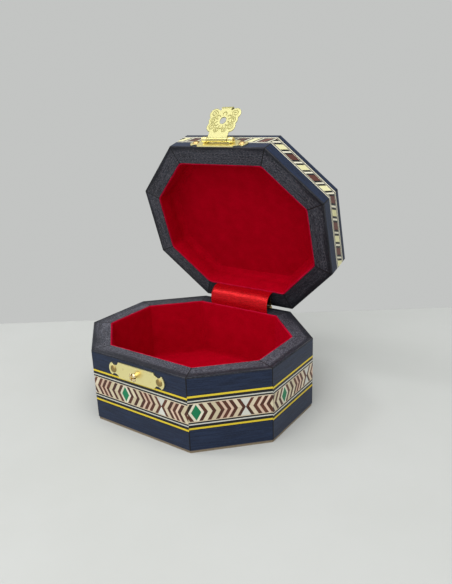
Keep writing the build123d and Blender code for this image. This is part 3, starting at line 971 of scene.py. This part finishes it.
def hasp_leaf():
    """The pressed rosette leaf with its rolled eye and curled finger lip, hanging from its pin."""
    spokes, rings = 360, 48
    angles = [2 * math.pi * k / spokes for k in range(spokes)]
    reaches = [leaf_reach(angle) for angle in angles]
    shares = [k / rings for k in range(rings + 1)]
    plan = []
    for t in shares:
        for angle, reach in zip(angles, reaches):
            radius = HOLE_RADIUS + (reach - HOLE_RADIUS) * t
            plan.append((radius * math.cos(angle), radius * math.sin(angle)))
    plan = np.array(plan)
    edge = np.minimum(np.repeat(shares, spokes), 1 - np.repeat(shares, spokes))
    chased = chasing_depth(plan, chased_lines()) * np.clip(edge * 12, 0, 1)
    depth = chased + EDGE_ROUND * np.clip(1 - edge * 16, 0, 1) ** 2
    points = [(x, ROLL_RADIUS - d, -HOLE_DROP - v) for (x, v), d in zip(plan, depth)]
    points += [(x, ROLL_RADIUS - LEAF_SHEET + d, -HOLE_DROP - v) for (x, v), d in zip(plan, depth)]
    count = len(plan)
    last = rings * spokes
    faces = []
    for s in range(spokes):
        n = (s + 1) % spokes
        for ring in range(0, last, spokes):
            a, b, c, d = ring + s, ring + n, ring + spokes + n, ring + spokes + s
            faces.append([a, b, c, d])
            faces.append([count + d, count + c, count + b, count + a])
        faces.append([n, s, count + s, count + n])
        faces.append([last + s, last + n, count + last + n, count + last + s])
    solids = Solids([LEAF_BRASS_PAINTED_SHADE, SHADED_BRASS])
    solids.add(points, faces, LEAF_BRASS_PAINTED_SHADE)
    rolled(solids, 0.0, 0.0, ROLL_RADIUS, ROLL_INNER, ROLL_HALF, 90, -235, SHADED_BRASS)
    lip_middle = ROLL_RADIUS - LIP_RADIUS
    rolled(solids, lip_middle, -LIP_DROP, LIP_RADIUS, LIP_INNER, LIP_HALF, 90, 400, LEAF_BRASS_PAINTED_SHADE)
    matrix = HASP @ Matrix.Translation(LID.inverted() @ HASP_PIN)
    solids.points = [matrix @ p for p in solids.points]
    leaf = solids.finish("hasp_leaf_pressed")
    smooth_by_angle(leaf, 40)
    # depth of the chased lines, which darkens them: painted shade
    shade = np.zeros(len(leaf.data.vertices))
    shade[:2 * count] = np.tile(np.clip(chased / CHASE_DEPTH, 0, 1), 2)
    leaf.data.attributes.new("chased", "FLOAT", "POINT").data.foreach_set("value", shade)
    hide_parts("hasp_leaf")
    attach(leaf, "hasp")


def rolled(solids, y, z, outer, inner, half, start, end, material):
    """Sheet rolled about a line along X, from one angle to another, in degrees from +Z towards +Y."""
    steps = 40
    points = []
    for k in range(steps + 1):
        angle = math.radians(start + (end - start) * k / steps)
        for radius in (inner, outer):
            for x in (-half, half):
                points.append((x, y + radius * math.sin(angle), z + radius * math.cos(angle)))
    faces = [[0, 1, 3, 2], [4 * steps + 2, 4 * steps + 3, 4 * steps + 1, 4 * steps]]
    for k in range(steps):
        a, b = 4 * k, 4 * k + 4
        for i, j in ((0, 1), (1, 3), (3, 2), (2, 0)):
            faces.append([a + j, a + i, b + i, b + j])
    if end > start:
        faces = [face[::-1] for face in faces]
    solids.add(points, faces, material)


def smooth_by_angle(piece, degrees):
    """Smooth shading, but with sharp edges where faces meet at more than an angle."""
    mesh = piece.data
    mesh.polygons.foreach_set("use_smooth", [True] * len(mesh.polygons))
    mesh.set_sharp_from_angle(angle=math.radians(degrees))


# ---- snap stud, in mm: (height, radius) up a prong, and half widths of the crosswise slots ----
STUD_PROFILE = [
    (0.0, 1.3), (1.2, 1.3), (1.9, 1.35), (2.3, 1.95),
    (2.7, 2.3), (3.1, 2.25), (3.5, 1.75), (3.7, 1.1),
]
STUD_SLOT_LOW = 0.12
STUD_SLOT_HIGH = 0.24
STUD_SLOT_START = 1.5
STUD_SLOT_WIDENING = 0.05
STUD_PETAL_START = 2
STUD_PETAL_PINCH = 0.22


def snap_stud():
    """A post split crosswise into four prongs with swollen, petal-shaped ends."""
    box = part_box("snap_stud")
    middle = (box[0] + box[1]) / 2
    facing_front = Matrix.Rotation(math.radians(90), 4, "X")
    place = Matrix.Translation((middle.x, -HALF_DEPTH, middle.z)) @ facing_front
    stud = Solids([STUD_BRASS])
    steps = 10
    for prong in range(4):
        points = []
        for height, radius in STUD_PROFILE:
            split = STUD_SLOT_LOW
            if height >= STUD_SLOT_START:
                split = STUD_SLOT_HIGH + STUD_SLOT_WIDENING * (height - STUD_SLOT_START)
            first = math.asin(split / radius)
            last = math.pi / 2 - first
            loop = [(split, split)]
            for k in range(steps + 1):
                angle = first + (last - first) * k / steps
                pinch = STUD_PETAL_PINCH if height > STUD_PETAL_START else 0
                reach = radius * (1 - pinch * (1 - math.sin(2 * angle)))
                loop.append((reach * math.cos(angle), reach * math.sin(angle)))
            turn = math.radians(90 * prong)
            for x, y in loop:
                across = x * math.cos(turn) - y * math.sin(turn)
                up = x * math.sin(turn) + y * math.cos(turn)
                points.append(place @ (Vector((across, up, height)) * MM))
        stud.add(points, stacked_faces(steps + 2, len(STUD_PROFILE)), STUD_BRASS)
    piece = stud.finish("snap_stud_split")
    smooth_by_angle(piece, 45)
    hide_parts("snap_stud")
    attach(piece, "box")


# ---- CAD pieces that keep their shape, and how far their edges are softened ----
WALL_EDGE = 0.12 * MM
BOARD_EDGE = 0.1 * MM
PLATE_EDGE = 0.12 * MM
NAIL_EDGE = 0.06 * MM


def finish_cad_pieces():
    """Gives the walls, boards, plates, hinge leaves, nails and pins their materials."""
    for number, side in enumerate(SIDES):
        dress("wall_" + side, stained_wood(number, False), WALL_EDGE)
        dress("lid_wall_" + side, stained_wood(number, True), WALL_EDGE)
    for node in ("base_board", "lid_board"):
        dress(node, PLAIN_WOOD, BOARD_EDGE)
    dress("sole_board", SOLE_WOOD, BOARD_EDGE)
    for node in ("strike_plate", "hasp_plate"):
        dress(node, BRASS, PLATE_EDGE)
    # painted shade: the hinge leaves lie in shadow
    for node in ("hinge_leaf_box", "hinge_leaf_lid"):
        dress(node, BRASS_PAINTED_SHADE, PLATE_EDGE)
    for node in ("hasp_nails", "hasp_pin", "hinge_pin", "hinge_nails_box", "hinge_nails_lid"):
        dress(node, DEEP_BRASS, NAIL_EDGE)
    # painted dark reflections on the strike nails
    dress("strike_nails", BRASS_PAINTED_SHADE, NAIL_EDGE)


def dress(node, material, bevel):
    """Gives a CAD piece its material and softened edges."""
    piece = frame["nodes"][node]
    piece.data.materials.clear()
    piece.data.materials.append(material)
    weld = piece.modifiers.new("join_faces", "WELD")
    weld.merge_threshold = 1e-6
    soften = piece.modifiers.new("soft_edges", "BEVEL")
    soften.width = bevel
    soften.segments = 2
    soften.limit_method = "ANGLE"
    soften.angle_limit = math.radians(35)


# ---- stage ----
CAMERA_AZIMUTH = math.radians(35.23)
CAMERA_ELEVATION = math.radians(18.29)
CAMERA_ROLL = math.radians(-2.12)
CAMERA_TARGET = Vector((10.21 * MM, 13.92 * MM, 59.51 * MM))
CAMERA_DISTANCE = 316.25 * MM
TABLE_EDGE = 0.125
TABLE_EDGE_RADIUS = 0.012
TABLE_NEAR = 1.6
TABLE_HALF_WIDTH = 1.8
TABLE_DROP = 1.0


def studio():
    """A pale table whose far edge is close behind the box, a plain bright room and soft lights."""
    away = Vector((-math.sin(CAMERA_AZIMUTH), math.cos(CAMERA_AZIMUTH), 0))
    across = Vector((away.y, -away.x, 0))
    profile = [(-TABLE_NEAR, 0.0), (TABLE_EDGE, 0.0)]
    for k in range(1, 13):
        turn = math.radians(90 * k / 12)
        drop = TABLE_EDGE_RADIUS * (1 - math.cos(turn))
        profile.append((TABLE_EDGE + TABLE_EDGE_RADIUS * math.sin(turn), -drop))
    profile.append((TABLE_EDGE + TABLE_EDGE_RADIUS, -TABLE_DROP))
    points = []
    for distance, height in profile:
        for side in (-TABLE_HALF_WIDTH, TABLE_HALF_WIDTH):
            points.append(away * distance + across * side + Vector((0, 0, height)))
    faces = [[2 * k, 2 * k + 1, 2 * k + 3, 2 * k + 2] for k in range(len(profile) - 1)]
    table = make_object("pale_table", points, faces, [pale_surface()], smooth=True)
    world = bpy.data.worlds.new("plain_room")
    bpy.context.scene.world = world
    world.use_nodes = True
    background = world.node_tree.nodes["Background"]
    background.inputs["Color"].default_value = (0.545, 0.555, 0.545, 1)
    background.inputs["Strength"].default_value = 1.0
    area_light("overhead_softbox", (0.10, -0.26, 0.80), (0, 0, 0.03), size=0.75, power=4.6)
    area_light("front_fill", (0.30, -0.95, 0.60), (0, 0, 0.07), size=0.7, power=2.2)
    area_light("side_lamp", (-0.52, -0.32, 0.75), (0, 0.04, 0.05), size=0.16, power=1.2)


def pale_surface():
    """The faintly mottled grey-white of the table."""
    g = Graph("pale_surface", Roughness=0.6, Specular_IOR_Level=0.2)
    haze = g.noise(g.place(), 14, 4.0, 0.6)
    g.set(Base_Color=g.mix(haze, (0.53, 0.54, 0.52), (0.59, 0.60, 0.59)))
    return g.material


def area_light(name, where, target, size, power):
    """A square light at a place, turned towards a target."""
    data = bpy.data.lights.new(name, "AREA")
    data.size = size
    data.energy = power
    light = bpy.data.objects.new(name, data)
    light.location = where
    light.rotation_euler = (Vector(target) - Vector(where)).to_track_quat("-Z", "Y").to_euler()
    bpy.context.scene.collection.objects.link(light)


def camera():
    """The viewing angle: front and right sides, from a little above the lid's middle."""
    level = Vector((math.sin(CAMERA_AZIMUTH), -math.cos(CAMERA_AZIMUTH), 0))
    back = level * math.cos(CAMERA_ELEVATION) + Vector((0, 0, math.sin(CAMERA_ELEVATION)))
    right = Vector((0, 0, 1)).cross(back).normalized()
    up = back.cross(right)
    tilted_right = right * math.cos(CAMERA_ROLL) + up * math.sin(CAMERA_ROLL)
    tilted_up = up * math.cos(CAMERA_ROLL) - right * math.sin(CAMERA_ROLL)
    turned = Matrix((tilted_right, tilted_up, back)).transposed().to_4x4()
    data = bpy.data.cameras.new("camera")
    data.sensor_width = 36
    data.lens = 35.33
    data.clip_start = 0.01
    view = bpy.data.objects.new("camera", data)
    view.matrix_world = Matrix.Translation(CAMERA_TARGET + back * CAMERA_DISTANCE) @ turned
    bpy.context.scene.collection.objects.link(view)
    bpy.context.scene.camera = view


bpy.context.scene.view_settings.view_transform = "Standard"
camera()
studio()
finish_cad_pieces()
box_bands()
lid_bands()
lid_top_picture()
linings()
ribbon_stay()
hasp_leaf()
snap_stud()
